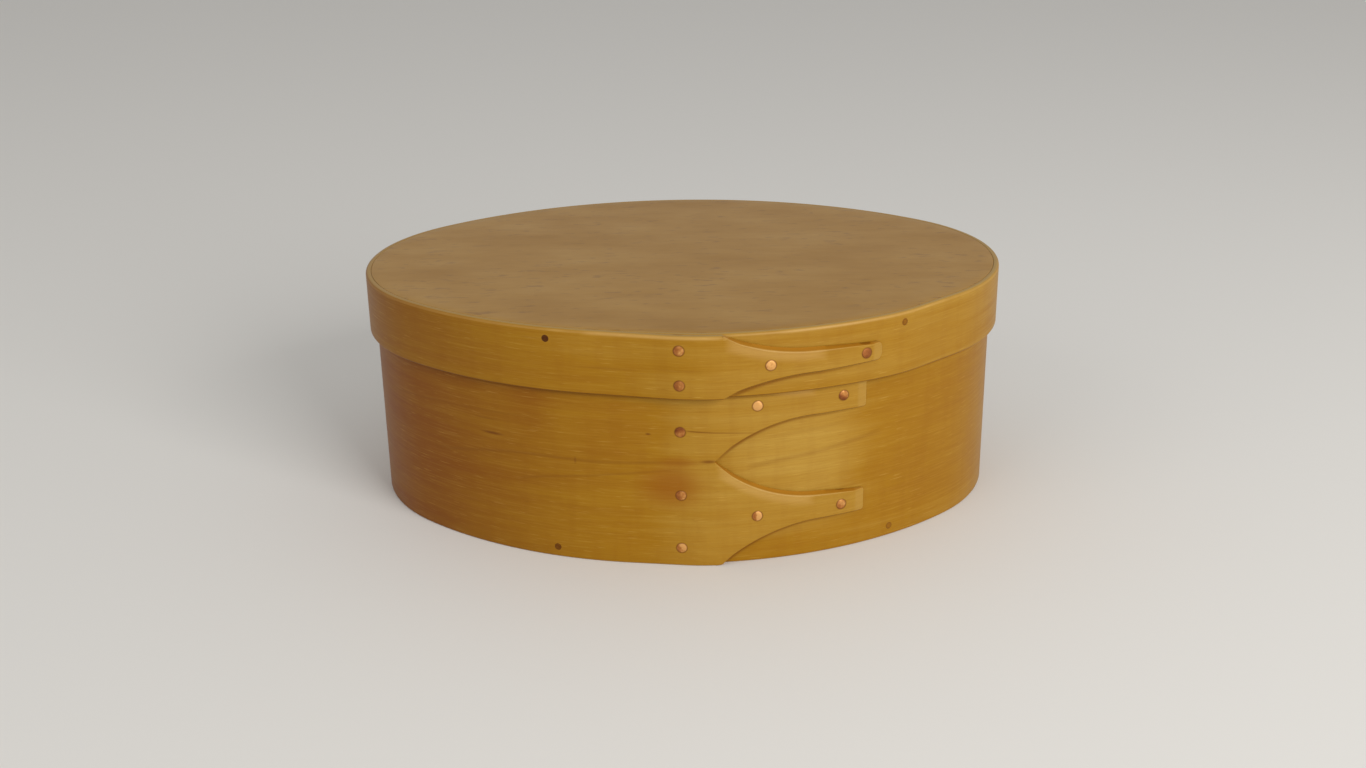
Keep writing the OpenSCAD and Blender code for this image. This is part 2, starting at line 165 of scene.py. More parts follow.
# lower and upper edge of every finger at the stations: all lean down, but the topmost edge has its own rise, and
# the lowest edge is left fuller from the root to the shoulder
def fingerSpans(fingers, low, high, s):
    pitch = (high - low) / fingers["count"]
    half = halfWidth(fingers, pitch, s)
    bend = np.clip((s - fingers["root"]) / (fingers["length"] - fingers["root"]), 0, 1)**2
    middles = [low + (i + 0.5) * pitch for i in range(fingers["count"])]
    fuller = fingers["fuller"] * np.clip((fingers["shoulder"] - s) / (fingers["shoulder"] - fingers["root"]), 0, 1)
    return [(np.maximum(middle - half - fingers["lean"] * bend - fuller * (middle == middles[0]), low + 0.05),
             middle + half + bend * (fingers["rise"] if middle == middles[-1] else -fingers["lean"]))
            for middle in middles]


# closed loop round a strip's section at many stations at once: shares of the thickness w (0 inner, 1 outer),
# heights z, and which parts are cut faces. Corners are quarter turns of the given rounds
def sectionLoop(low, high, slope, upperSlope, rounds, rows=14, turns=4):
    n, thick = len(low), strip["thickness"]
    t = np.linspace(0, np.pi / 2, turns + 1)
    up = np.linspace(0, 1, rows)[1:-1]
    outLow, outHigh = low + slope, high - upperSlope
    halfOut = np.maximum((outHigh - outLow) / 2 - 0.01, 0.01)
    halfIn = np.maximum((high - low) / 2 - 0.01, 0.01)
    small = np.full(n, strip["innerRound"])
    parts, marks = [], []

    def corner(zEdge, sign, wEdge, radius, limit, backwards, mark):
        r = np.minimum(radius, limit)[:, None]
        wr = np.minimum(radius, thick * 0.45)[:, None] / thick
        a = t[::-1] if backwards else t
        z = zEdge[:, None] + sign * r * (1 - np.cos(a))
        w = wEdge - (2 * wEdge - 1) * wr * (1 - np.sin(a))
        parts.append(np.stack([np.broadcast_to(w, (n, len(t))), z], -1))
        marks.append(np.broadcast_to(mark * np.cos(a)**0.5, (n, len(t))))

    def wall(z0, z1, w):
        z = z0[:, None] + (z1 - z0)[:, None] * up
        parts.append(np.stack([np.full((n, len(up)), float(w)), z], -1))
        marks.append(np.zeros((n, len(up))))

    corner(low, 1, 0, small, halfIn, False, -1.0)
    wall(low + small, high - small, 0)
    corner(high, -1, 0, small, halfIn, True, 1.0)
    corner(outHigh, -1, 1, rounds[1], halfOut, False, 1.0)
    wall(outHigh - rounds[1], outLow + rounds[0], 1)
    corner(outLow, 1, 1, rounds[0], halfOut, True, -1.0)
    return np.concatenate(parts, 1), np.concatenate(marks, 1)


acrossShare = 4.0  # how far the grain's pattern moves down between the outside and the inside, in mm


# carries the loops along the stations: point = inner + w * (outer - inner), at height z
def sweepStrip(inside, outside, loops, along, cuts, tips):
    w, z = loops[..., 0], loops[..., 1]
    flat = inside[:, None, :] + w[..., None] * (outside - inside)[:, None, :]
    n, m = z.shape
    i, k = np.meshgrid(np.arange(n - 1), np.arange(m), indexing="ij")
    k2 = (k + 1) % m
    quads = np.stack([i * m + k, (i + 1) * m + k, (i + 1) * m + k2, i * m + k2], -1).reshape(-1, 4)
    uv = np.stack([np.broadcast_to(along[:, None], z.shape), z + acrossShare * (w - 1)], -1)
    marks = np.stack([cuts, np.broadcast_to(tips[:, None], z.shape)], -1)
    points = np.concatenate([flat, z[..., None]], -1)
    return dict(points=points.reshape(-1, 3), quads=quads, uv=uv.reshape(-1, 2), marks=marks.reshape(-1, 2), n=n, m=m)


# turns faces outwards and shades them smooth, with edges sharper than the angle left crisp
def finishMesh(mesh, name, sharpAngle):
    work = bmesh.new()
    work.from_mesh(mesh)
    bmesh.ops.recalc_face_normals(work, faces=work.faces)
    limit = math.radians(sharpAngle)
    for face in work.faces:
        face.smooth = True
    for edge in work.edges:
        edge.smooth = len(edge.link_faces) != 2 or edge.calc_face_angle(0) < limit
    work.to_mesh(mesh)
    work.free()
    piece = bpy.data.objects.new(name, mesh)
    bpy.context.scene.collection.objects.link(piece)
    return piece


# a mesh from points in millimetres, with one float for each point under every title
def markedMesh(name, points, faces, titles, values, sharpAngle=40, uv=None):
    mesh = bpy.data.meshes.new(name)
    mesh.from_pydata((points * mm).tolist(), [], faces)
    if uv is not None:
        corners = np.zeros(len(mesh.loops), np.int32)
        mesh.loops.foreach_get("vertex_index", corners)
        layer = mesh.uv_layers.new(name="alongStrip")
        layer.data.foreach_set("uv", (uv[corners] * 0.01).astype(np.float32).ravel())
    for title, column in zip(titles, values):
        mark = mesh.attributes.new(title, "FLOAT", "POINT")
        mark.data.foreach_set("value", np.asarray(column, np.float32))
    return finishMesh(mesh, name, sharpAngle)


# soft clouds of tone on a strip: where along and height are inside a cloud's limits, its amount is added, fading
# over its blur along the strip and over 4 mm in height
def cloudTone(clouds, along, height):
    tone = np.full(len(along), 0.5)
    for start, stop, low, high, blur, amount in clouds:
        edges = [(along - start) / blur, (stop - along) / blur, (height - low) / 4, (high - height) / 4]
        tone += amount * np.prod([1 / (1 + np.exp(-3 * np.clip(edge, -9, 9))) for edge in edges], axis=0)
    return tone


# swept shells joined in one mesh, each closed by one face at either end
def joinShells(name, shells, clouds, high):
    faces, base = [], 0
    for shell in shells:
        m = shell["m"]
        faces += (shell["quads"] + base).tolist()
        faces += [[base + k for k in range(m)], [base + (shell["n"] - 1) * m + k for k in reversed(range(m))]]
        base += len(shell["points"])
    joined = {key: np.concatenate([shell[key] for shell in shells]) for key in ("points", "uv", "marks")}
    nearTop = np.clip((joined["points"][:, 2] - high) / 1.2 + 1, 0, 1)
    values = np.vstack([joined["marks"].T, cloudTone(clouds, *joined["uv"].T), nearTop])
    titles = ("cutEdge", "thinTip", "tone", "nearTop")
    return markedMesh(name, joined["points"], faces, titles, values, 40, joined["uv"])


# a strip's plain turn, its lap up to the root, and its swallowtail fingers, as closed shells that meet at the root
def lappedBand(name, path, under, base, rims, fingers, clouds):
    face = path["high"] + strip["thickness"]
    low, high = rims["low"], rims["high"]
    feather = path["start"] + math.acos((path["low"] - featherGap) / (path["low"] + strip["featherEdge"]))
    root, tip = lineAngle + fingers["root"] / face, lineAngle + fingers["length"] / face
    turnIn, turnOut = firstTurn(path, under, base, feather, path["start"])
    rise = np.append(np.arange(path["start"], root, stations["ramp"] / face), root)
    taper, blend = strip["tipTaper"] / face, strip["tipBlend"]

    def secondOuter(angle):
        share = np.clip((tip - angle) / taper, 0, 1.6)
        thinned = path["high"] + strip["tipThickness"] + (strip["thickness"] - strip["tipThickness"]) * share
        full = pathRadius(path, angle, strip["thickness"])
        soft = np.minimum(full, thinned) - blend * np.log1p(np.exp(-np.abs(full - thinned) / blend))
        return np.where(share < 1.6, soft, full)

    inside = np.concatenate([turnIn, frontPoint(rise, pathRadius(path, rise, 0))])
    outside = np.concatenate([turnOut, frontPoint(rise, secondOuter(rise))])
    along = np.concatenate([[0], np.cumsum(np.linalg.norm(np.diff(outside, axis=0), axis=1))])
    along += fingers["root"] + strip["lapShift"] - along[-1]  # nought where the second turn passes the middle
    ones = np.ones(len(inside))
    loops, cuts = sectionLoop(low * ones, high * ones, 0 * ones, 0 * ones,
                              (rims["rimRound"] * ones, rims["topRound"] * ones))
    # painted shade: where the strip asks for it, the rounding of its lower rim is marked to be painted dark, as under
    # the fingers
    shells = [sweepStrip(inside, outside, loops, along, np.minimum(cuts, 0) * rims["rimPaintedShade"], 0 * ones)]
    front = np.arange(feather, sideTurn, stations["turn"] / sideRadius)
    count = int((front < tip + 0.1).sum())
    layerBelow = (front[:count], along[:count])
    # stations of the fingers: even along the curve, closer where the tip rounds off
    bend = fingers["length"] - fingers["corner"]
    s = np.concatenate([np.arange(fingers["root"], bend, stations["finger"]),
                        bend + fingers["corner"] * np.sin(np.linspace(0, np.pi / 2, 9))])
    angle = lineAngle + s / face
    inner, outer = pathRadius(path, angle, 0), secondOuter(angle)
    ending = np.clip((s - (fingers["length"] - strip["tipRound"])) / strip["tipRound"], 0, 1)
    outer -= strip["tipRound"] * (1 - np.sqrt(1 - ending**2))
    past, beyond, crisp = s - fingers["root"], s - fingers["shoulder"], strip["rootRound"]
    slope = math.tan(math.radians(strip["bevel"])) * (outer - inner) * np.clip(past / edgeRuns["bevel"], 0.05, 1)
    steeper = 1 - edgeRuns["steeper"] * np.clip(beyond / edgeRuns["steeperRun"], 0, 1)
    edge = crisp + (strip["edgeRound"] - crisp) * np.clip(past / edgeRuns["lower"], 0, 1)
    softer = crisp + (strip["upperRound"] - crisp) * np.clip(past / edgeRuns["upper"], 0, 1)
    softer *= 1 - edgeRuns["crisper"] * np.clip(beyond / edgeRuns["crisperRun"], 0, 1)
    tips = np.clip((s - fingers["length"] + strip["tipTaper"]) / 1.2, 0, 1)
    for below, above in fingerSpans(fingers, low, high, s):
        loops, cuts = sectionLoop(below, above, slope, slope * steeper, (edge, softer))
        shells.append(sweepStrip(frontPoint(angle, inner), frontPoint(angle, outer), loops, s + strip["lapShift"],
                                 cuts, tips))
    return joinShells(name, shells, clouds, high), layerBelow


# a flat board: its outline carried inwards over a rounded edge, then shrunk in rings to the middle, top and bottom
def board(name, radiusAt, offset, z0, z1, edge, rings=26):
    angle = np.linspace(-sideTurn, 2 * np.pi - sideTurn, 480, endpoint=False)
    where = angle < sideTurn

    def outline(grow):
        points = ovalPoint(angle, offset + grow)
        points[where] = frontPoint(angle[where], radiusAt(angle[where], offset + grow))
        return points

    turn = np.linspace(0, np.pi / 2, 5)
    share = np.linspace(0, 1, rings)[1:]
    rows = [(outline(-edge) * t, z0) for t in share]
    rows += [(outline(-edge * (1 - math.sin(a))), z0 + edge * (1 - math.cos(a))) for a in turn[1:]]
    rows += [(outline(-edge * (1 - math.cos(a))), z1 - edge * (1 - math.sin(a))) for a in turn]
    rows += [(outline(-edge) * t, z1) for t in share[::-1][1:]]
    n, m = len(rows), len(angle)
    points = np.concatenate([np.column_stack([p, np.full(m, z)]) for p, z in rows] + [[[0, 0, z0]], [[0, 0, z1]]])
    i, k = np.meshgrid(np.arange(n - 1), np.arange(m), indexing="ij")
    k2 = (k + 1) % m
    faces = np.stack([i * m + k, i * m + k2, (i + 1) * m + k2, (i + 1) * m + k], -1).reshape(-1, 4).tolist()
    faces += [[n * m, (q + 1) % m, q] for q in range(m)]
    faces += [[n * m + 1, (n - 1) * m + q, (n - 1) * m + (q + 1) % m] for q in range(m)]
    return markedMesh(name, points, faces, (), (), 50)


ovalLength = 4 * sideRadius * sideTurn + 4 * endRadius * (np.pi / 2 - sideTurn)
outerTurn = ovalLength + 2 * np.pi * strip["thickness"]  # one turn back on the strip is the layer below
# from, to, low, high, blur, how much lighter or darker
boxClouds = [(-260, -42, -10, 200, 22, -0.24), (-150, -72, -10, 200, 20, -0.2), (-52, -40, 40, 57, 5, -0.12),
             (-30, -6, 30, 50, 8, -0.1),
             (-8, 90, -10, 200, 10, 0.14), (12 - outerTurn, 50 - outerTurn, 10, 56, 10, 0.24),
             (62 - outerTurn, 130 - outerTurn, 5, 60, 12, -0.05)]
lidClouds = [(-260, -62, -10, 200, 25, -0.25), (-5, 90, -10, 200, 20, 0.08), (-548, -400, -10, 200, 12, 0.1)]
boxBand, belowBox = lappedBand("boxBand", boxPath, plainRadius, 0.0, boxStrip, boxFingers, boxClouds)
lidBand, belowLid = lappedBand("lidBand", lidPath, steppedRadius, lidOff, lidStrip, lidFingers, lidClouds)
baseBoard = board("baseBoard", plainRadius, -boards["gap"], 0.0, boards["thickness"], boards["edge"])
lidBoard = board("lidBoard", steppedRadius, lidOff - boards["gap"], boxStrip["high"], lidStrip["high"],
                 boards["edge"])
turnLength = outerTurn * 0.01
print("bands and boards made")

tackSizes = dict(head=3.2, sink=0.35, dome=0.2, shank=1.5, clinch=2.8, clinchThick=0.4, clinchProud=0.1, dent=0.05,
                 sides=40)
# along from the line of tacks, up the strip, how bright the head is, from wear and painted reflection, and towards
# where and how strongly a painted dark reflection lies on it
boxTacks = [(0, 5.85, 0.55, 200, 0.4), (0, 22.85, 0.4, 190, 0.6), (0, 42.85, 0.3, 110, 1.0),
            (0, 59.85, 0.4, 90, 0.4), (22.4, 15.45, 0.75, 185, 1.0), (22.4, 50.25, 0.9, 270, 0.3),
            (48.8, 15.45, 0.45, 230, 0.5), (48.8, 50.25, 0.38, 240, 1.1)]
lidTacks = [(0, 4.3, 0.3, 180, 0.5), (0, 14.7, 0.42, 180, 0.5), (26.0, 9.5, 0.62, 200, 0.25),
            (55.4, 9.5, 0.05, 300, 0.3)]
pegSizes = dict(count=5, diameter=2.2, length=14.0, point=3.0, tip=1.0, first=64.5, last=38.5, proud=0.03, sides=32)


# local X along the wall, Y up and Z out of the wood, turned to the direction that the wall faces
def placed(points, origin, facing):
    out = np.array([math.sin(facing), -math.cos(facing), 0])
    side = np.array([math.cos(facing), math.sin(facing), 0])
    return np.asarray(origin) + points[:, :1] * side + points[:, 1:2] * np.array([0, 0, 1]) + points[:, 2:3] * out


# quads between the rows of a turned shape, whose first and last rows are closed by one face each
def latheFaces(rows, sides, base=0):
    i, k = np.meshgrid(np.arange(rows - 1), np.arange(sides), indexing="ij")
    k2 = (k + 1) % sides
    quads = np.stack([i * sides + k, i * sides + k2, (i + 1) * sides + k2, (i + 1) * sides + k], -1)
    ends = [[base + q for q in reversed(range(sides))], [base + (rows - 1) * sides + q for q in range(sides)]]
    return (quads.reshape(-1, 4) + base).tolist() + ends


# a hammered head, radius times a slightly lobed circle and height a flat dome less two shallow dents, on a round
# shank, and the point clinched over inside, a rounded outline that narrows down the wall
def copperTack(name, path, spot, lift, under, base, seed):
    draw = np.random.default_rng(seed)
    along, height, worn, darkReflectionWay, darkReflection = spot
    angle = np.array(lineAngle + along / (path["high"] + strip["thickness"]))
    outside = pathRadius(path, angle, strip["thickness"])
    grip = float(outside - under(angle, base))
    facing = pathNormal(path, float(angle), strip["thickness"])
    at = frontPoint(angle, outside)
    sides, radius = tackSizes["sides"], tackSizes["head"] / 2
    turn = np.arange(sides) * 2 * np.pi / sides
    lobes = 0.98 + 0.012 * np.sin(2 * turn + draw.uniform(0, 6)) + 0.008 * np.sin(3 * turn + draw.uniform(0, 6))
    reach = np.linspace(0.985, 0.05, 11)
    inner, stem = -grip - tackSizes["clinchProud"], tackSizes["shank"] / tackSizes["head"]
    shares = np.concatenate([[stem, stem, 0.999, 1.0, 1.0], reach])
    heights = np.concatenate([[inner + 0.2, -tackSizes["sink"], -tackSizes["sink"], -0.2, 0.0],
                              tackSizes["dome"] * (1 - reach**3) + 0.01])
    x = shares[:, None] * radius * lobes * np.cos(turn)
    y = shares[:, None] * radius * lobes * np.sin(turn)
    z = np.broadcast_to(heights[:, None], x.shape).copy()
    dents = draw.uniform([-0.9, -0.9, 0.6], [0.9, 0.9, 1.0], (2, 3))
    for dentX, dentY, size in dents:
        z[5:] -= tackSizes["dent"] * np.exp(-((x[5:] - dentX)**2 + (y[5:] - dentY)**2) / size**2)
    head = np.stack([x, y, z], -1).reshape(-1, 3)
    rim = np.broadcast_to(np.clip((shares - 0.82) / 0.15, 0, 1)[:, None], x.shape).ravel()
    # painted reflection: each head's brightness, from wear and reflection, less a painted dark reflection on the side
    # it is turned towards
    way = math.radians(darkReflectionWay)
    side = (head[:, 0] * math.cos(way) + head[:, 1] * math.sin(way)) / radius
    shade = worn + 0.1 - 0.28 * darkReflection * (1 + np.tanh(4 * (side - 0.15)))
    faces = latheFaces(len(shares), sides)
    arc, half = np.linspace(0, np.pi, 16), tackSizes["shank"] / 2
    px = np.concatenate([half * np.cos(arc), [-half * 0.75, -half * 0.3, half * 0.3, half * 0.75]])
    py = np.concatenate([half * np.sin(arc), [-1.0, -tackSizes["clinch"], -tackSizes["clinch"], -1.0]])
    levels = [(1.0, inner + tackSizes["clinchThick"]), (1.0, inner + 0.12), (0.85, inner + 0.03), (0.6, inner)]
    point = np.concatenate([np.column_stack([px * k, py * (0.7 + 0.3 * k), np.full(len(px), level)])
                            for k, level in levels])
    faces += latheFaces(len(levels), len(px), len(head))
    points = placed(np.concatenate([head, point]), [at[0], at[1], lift + height], facing)
    return markedMesh(name, points, faces, ("rim", "shade"),
                      (np.append(rim, np.zeros(len(point))), np.append(shade, np.full(len(point), 0.4))))


# a turned peg: blunt point, straight body, and an end that is very slightly crowned and cut flush with the wall,
# whose radius at each point of the end, less the front arc's, says how much further out that point lies
def woodPeg(name, distance, height, offset, under, shade):
    sideArc, endArc = sideRadius * sideTurn, 2 * endRadius * (np.pi / 2 - sideTurn)
    stops = np.array([sideArc, sideArc + endArc, 3 * sideArc + endArc, 3 * sideArc + 2 * endArc])
    begins = [0, stops[0], stops[1] + sideArc, stops[2], stops[3] + sideArc]
    facings = [0, sideTurn, np.pi, np.pi + sideTurn, 0]
    part = int((distance > stops).sum())
    facing = facings[part] + (distance - begins[part]) / (endRadius if part in (1, 3) else sideRadius)
    at = ovalPoint(np.array(facing), offset + strip["thickness"])
    radius, sides, length, proud = pegSizes["diameter"] / 2, pegSizes["sides"], pegSizes["length"], pegSizes["proud"]
    turn = np.arange(sides) * 2 * np.pi / sides
    z = np.array([-length, pegSizes["point"] - length, -0.02, 0.3 * proud, 0.7 * proud, proud, proud])
    r = np.array([pegSizes["tip"] / 2, radius, radius, 0.97 * radius, 0.65 * radius, 0.3 * radius, 0.03 * radius])
    points = np.stack([r[:, None] * np.cos(turn), r[:, None] * np.sin(turn),
                       np.broadcast_to(z[:, None], (len(z), sides))], -1).reshape(-1, 3)
    flush = np.repeat(z > pegSizes["point"] - length, sides)
    points[flush, 2] += under(facing + points[flush, 0] / sideRadius, 0.0) - sideRadius
    rim = np.broadcast_to((r / radius)[:, None], (len(z), sides)).ravel()
    return markedMesh(name, placed(points, [at[0], at[1], height], facing), latheFaces(len(z), sides), ("rim", "shade"),
                      (rim, np.full(len(points), shade)))


# body, path, places, height of the strip's lower edge, wall, how far out the wall stands, and the first seed
tackSets = [("box", boxPath, boxTacks, boxStrip["low"], plainRadius, 0.0, 11),
            ("lid", lidPath, lidTacks, lidStrip["low"], steppedRadius, lidOff, 31)]
tacks = [(copperTack(f"{body}Tack{i + 1}", path, spot, low, under, base, seed + i), body, f"{body}_tack_{i + 1}")
         for body, path, spots, low, under, base, seed in tackSets
         for i, spot in enumerate(spots)]
pegPitch = (ovalLength - pegSizes["first"] - pegSizes["last"]) / (pegSizes["count"] - 1)
pegSpots = [pegSizes["first"] + i * pegPitch for i in range(pegSizes["count"])]
# how light each peg's end has stayed, from the right of the lap round
pegShades = dict(box=[0.38, 0.2, 0.4, 0.3, 0.05], lid=[0.3, 0.1, 0.25, 0.1, -0.22])
# body, height of the middle of its board, how far out its wall stands, and the wall
pegSets = [("box", boards["thickness"] / 2, 0.0, plainRadius),
           ("lid", boxStrip["high"] + boards["thickness"] / 2, lidOff, steppedRadius)]
pegs = [(woodPeg(f"{body}Peg{i + 1}", spot, height, base, under, pegShades[body][i]), body, f"{body}_peg_{i + 1}")
        for body, height, base, under in pegSets
        for i, spot in enumerate(pegSpots)]
print("tacks and pegs made")

# camera at the photograph's viewing angle
shot = dict(place=(0.654, -484.955, 216.255), yaw=-0.002, pitch=0.368, roll=-0.015, focal=1557.16, width=1366)


def addCamera():
    data = bpy.data.cameras.new("camera")
    data.sensor_width = 36
    data.lens = 36 * shot["focal"] / shot["width"]
    data.clip_start, data.clip_end = 0.01, 20
    camera = bpy.data.objects.new("camera", data)
    yaw, pitch, roll = shot["yaw"], shot["pitch"], shot["roll"]
    ahead = np.array([math.sin(yaw) * math.cos(pitch), math.cos(yaw) * math.cos(pitch), -math.sin(pitch)])
    right = np.array([math.cos(yaw), -math.sin(yaw), 0])
    up = np.cross(right, ahead)
    rolledRight = math.cos(roll) * right + math.sin(roll) * up
    rolledUp = -math.sin(roll) * right + math.cos(roll) * up
    turn = Matrix([rolledRight, rolledUp, -ahead]).transposed().to_4x4()
    turn.translation = [c * mm for c in shot["place"]]
    camera.matrix_world = turn
    bpy.context.scene.collection.objects.link(camera)
    bpy.context.scene.camera = camera


addCamera()


# sRGB hex to linear
def linear(hexColour):
    value = [int(hexColour[i:i + 2], 16) / 255 for i in (1, 3, 5)]
    return [v / 12.92 if v <= 0.04045 else ((v + 0.055) / 1.055)**2.4 for v in value] + [1]


# a node with its settings, its ramp's stops, and every input linked or set; gives back the output asked for
def node(tree, kind, inputs=None, out=0, stops=(), **settings):
    made = tree.nodes.new("ShaderNode" + kind)
    for key, value in settings.items():
        setattr(made, key, value)
    for key, value in (inputs or {}).items():
        if isinstance(value, bpy.types.NodeSocket):
            tree.links.new(value, made.inputs[key])
        else:
            made.inputs[key].default_value = value
    for i in range(2, len(stops)):
        made.color_ramp.elements.new(0.5)
    for i, (place, colour) in enumerate(stops):
        made.color_ramp.elements[i].position = place
        made.color_ramp.elements[i].color = linear(colour)
    return made.outputs[out]


def newMaterial(name):
    material = bpy.data.materials.new(name)
    material.use_nodes = True
    return material, material.node_tree, material.node_tree.nodes["Principled BSDF"]


# noise for each title, whose blotches have the given lengths along each axis in the vector's own unit
def noises(tree, vector, offset, patterns):
    made = {}
    for title, (lengths, detail) in patterns.items():
        scaled = node(tree, "Mapping", {"Vector": vector, "Location": offset, "Scale": [1 / k for k in lengths]})
        made[title] = node(tree, "TexNoise", {"Vector": scaled, "Scale": 1.0, "Detail": detail, "Roughness": 0.55})
    return made


# coats of colour one on another: each is laid on as its value passes smoothly from low to high, up to its strength
def coats(tree, colour, layers):
    for value, low, high, tint, strength in layers:
        share = node(tree, "MapRange", {"Value": value, "From Min": low, "From Max": high, "To Max": strength},
                     interpolation_type="SMOOTHSTEP")
        colour = node(tree, "Mix", {0: share, 6: colour, 7: linear(tint)}, 2, data_type="RGBA")
    return colour


# colours of the wood and its marks; some stand in for light: a dark brown is laid on as painted shade under edges and
# rims, and a pale one as painted sheen and highlight on rounded edges and the ridge
maple = dict(dark="#7a4100", warm="#94670c", light="#b08d3e", darkHair="#7d4a04", lightHair="#bd9540",
             pore="#6a3a04", glint="#cda552", line="#74450a", smudge="#864a00", cut="#a06a16", under="#744400",
             worn="#c49c5c", tip="#b8924a", rim="#a5854a", roughness=0.40, specular=0.16)
# lengths in 100 mm along and across the grain: clouds 60 by 16 mm, bands 90 by 3, fibres 22 by 0.5 and hairs 9 by
# 0.3, drawn coarser than real fibres so that they show; pores and glints are single short marks
maplePatterns = dict(cloud=((0.6, 0.16, 1), 2), band=((0.9, 0.030, 1), 3), fibre=((0.22, 0.005, 1), 3),
                     hair=((0.09, 0.003, 1), 2), figure=((0.05, 0.30, 1), 2), pore=((0.04, 0.0034, 1), 1),
                     glint=((0.07, 0.0034, 1), 1), wander=((0.35, 9, 1), 2))


# a line along the grain: its middle's height as a curve over its length, plus some wandering; the value is nought
# on the line and 1 at half its width away or at its ends, with the thinning added towards the far end
def lineValue(tree, u, v, wander, start, stop, heights, width, swing, thinning):
    share = node(tree, "MapRange", {"Value": u, "From Min": start, "From Max": stop}, clamp=False)
    middle = node(tree, "FloatCurve", {"Value": share})
    points = middle.node.mapping.curves[0].points
    points[0].location, points[1].location = (0, heights[0]), (1, heights[-1])
    for place, height in zip(np.linspace(0, 1, len(heights))[1:-1], heights[1:-1]):
        points.new(place, height)
    middle.node.mapping.update()
    middle = node(tree, "Math", {0: wander, 1: swing, 2: middle}, operation="MULTIPLY_ADD")
    away = node(tree, "Math", {0: v, 1: middle}, operation="SUBTRACT")
    away = node(tree, "Math", {0: away, 1: 1 / width}, operation="MULTIPLY")
    away = node(tree, "Math", {0: away}, operation="ABSOLUTE")
    end = node(tree, "Math", {0: share, 1: 2.0, 2: -1.0}, operation="MULTIPLY_ADD")
    end = node(tree, "Math", {0: end, 1: 6.0}, operation="POWER")
    away = node(tree, "Math", {0: away, 1: end}, operation="MAXIMUM")
    return node(tree, "Math", {0: share, 1: thinning, 2: away}, operation="MULTIPLY_ADD")


# a stain or fleck: how far from its middle, in its own half length and half height
def spotValue(tree, uv, along, height, length, width):
    away = node(tree, "VectorMath", {0: uv, 1: (along, height, 0)}, operation="SUBTRACT")
    away = node(tree, "VectorMath", {0: away, 1: (1 / length, 1 / width, 0)}, operation="MULTIPLY")
    return node(tree, "VectorMath", {0: away}, "Value", operation="LENGTH")


# honey-coloured straight-grained maple, bent, oiled and varnished to a satin: soft clouds of tone, hair-thin fibres
# along the strip, a few wandering grain lines, darker cut faces, painted shade under the fingers, the lid's rim and
# round the tacks, and painted highlight and sheen on rounded edges, the ridge and the tips
def makeMaple(name, offset, lines, spots, rings):
    material, tree, shader = newMaterial(name)
    uv = node(tree, "UVMap", uv_map="alongStrip")
    u = node(tree, "SeparateXYZ", {0: uv})
    v = u.node.outputs[1]
    grain = noises(tree, uv, offset, maplePatterns)
    tone = node(tree, "Attribute", out="Fac", attribute_name="tone")
    for title, share in (("cloud", 0.35), ("band", 0.30)):
        tone = node(tree, "Math", {0: grain[title], 1: share, 2: tone}, operation="MULTIPLY_ADD")
    tone = node(tree, "Math", {0: tone, 1: 0.325}, operation="SUBTRACT")
    colour = node(tree, "ValToRGB", {0: tone}, stops=[(0.0, maple["dark"]), (0.5, maple["warm"]), (1, maple["light"])])
    cut = node(tree, "Attribute", out="Fac", attribute_name="cutEdge")
    tip = node(tree, "Attribute", out="Fac", attribute_name="thinTip")
    upperRoundingSheen = node(tree, "Math", {0: cut, 1: 0.45, 2: 0.33}, operation="COMPARE")
    wander = node(tree, "Math", {0: grain["wander"], 1: 0.5}, operation="SUBTRACT")
    nearTop = node(tree, "Attribute", out="Fac", attribute_name="nearTop")
    ridgeHighlight = node(tree, "Math", {0: nearTop, 1: 0.55, 2: 0.25}, operation="COMPARE")
    layers = [(grain[title], low, high, maple[tint], strength) for title, low, high, tint, strength in
              (("fibre", 0.50, 0.34, "darkHair", 0.10), ("fibre", 0.52, 0.68, "lightHair", 0.09),
               ("hair", 0.50, 0.34, "darkHair", 0.08), ("hair", 0.52, 0.68, "lightHair", 0.07),
               ("figure", 0.55, 0.35, "dark", 0.08), ("pore", 0.66, 0.76, "pore", 0.2),
               ("glint", 0.64, 0.76, "glint", 0.22))]
    layers += [(lineValue(tree, u, v, wander, *line), 1.0, 0.0, maple[tint], strength)
               for *line, tint, strength in lines]
    layers += [(spotValue(tree, uv, *spot), 1.0, 0.15, maple[tint], strength) for *spot, tint, strength in spots]
    # painted highlight on the rounded upper edges, and painted shade on the rounded lower edges and on the lid's lower
    # rim
    layers += [(cut, 0.85, 0.97, maple["cut"], 0.9), (upperRoundingSheen, 0.4, 0.6, maple["worn"], 0.18),
               (cut, -0.15, -0.8, maple["under"], 0.85), (cut, -0.9, -0.98, maple["cut"], 0.9),
               # the thinned tips paler: partly the wood's own colour where they are thinned, partly painted highlight
               (tip, 0.0, 1.0, maple["tip"], 0.2),
               # the top edge painted lighter like the boards, lifting the shade that falls on it, and a painted
               # highlight along the ridge just under it
               (nearTop, 0.8, 0.97, maple["rim"], 0.75), (ridgeHighlight, 0.4, 0.6, maple["worn"], 0.2)]
    # painted shade in the crevice round each tack's head
    layers += [(spotValue(tree, uv, *tackShadeRing), 1.0, 0.82, maple["pore"], 0.6) for tackShadeRing in rings]
    tree.links.new(coats(tree, colour, layers), shader.inputs["Base Color"])
    gloss = node(tree, "MapRange", {"Value": grain["fibre"], "To Min": maple["roughness"] + 0.06,
                                    "To Max": maple["roughness"] - 0.06})
    bump = node(tree, "Bump", {"Height": grain["fibre"], "Strength": 0.12, "Distance": 0.0001})
    tree.links.new(gloss, shader.inputs["Roughness"])
    tree.links.new(bump, shader.inputs["Normal"])
    shader.inputs["Specular IOR Level"].default_value = maple["specular"]
    return material


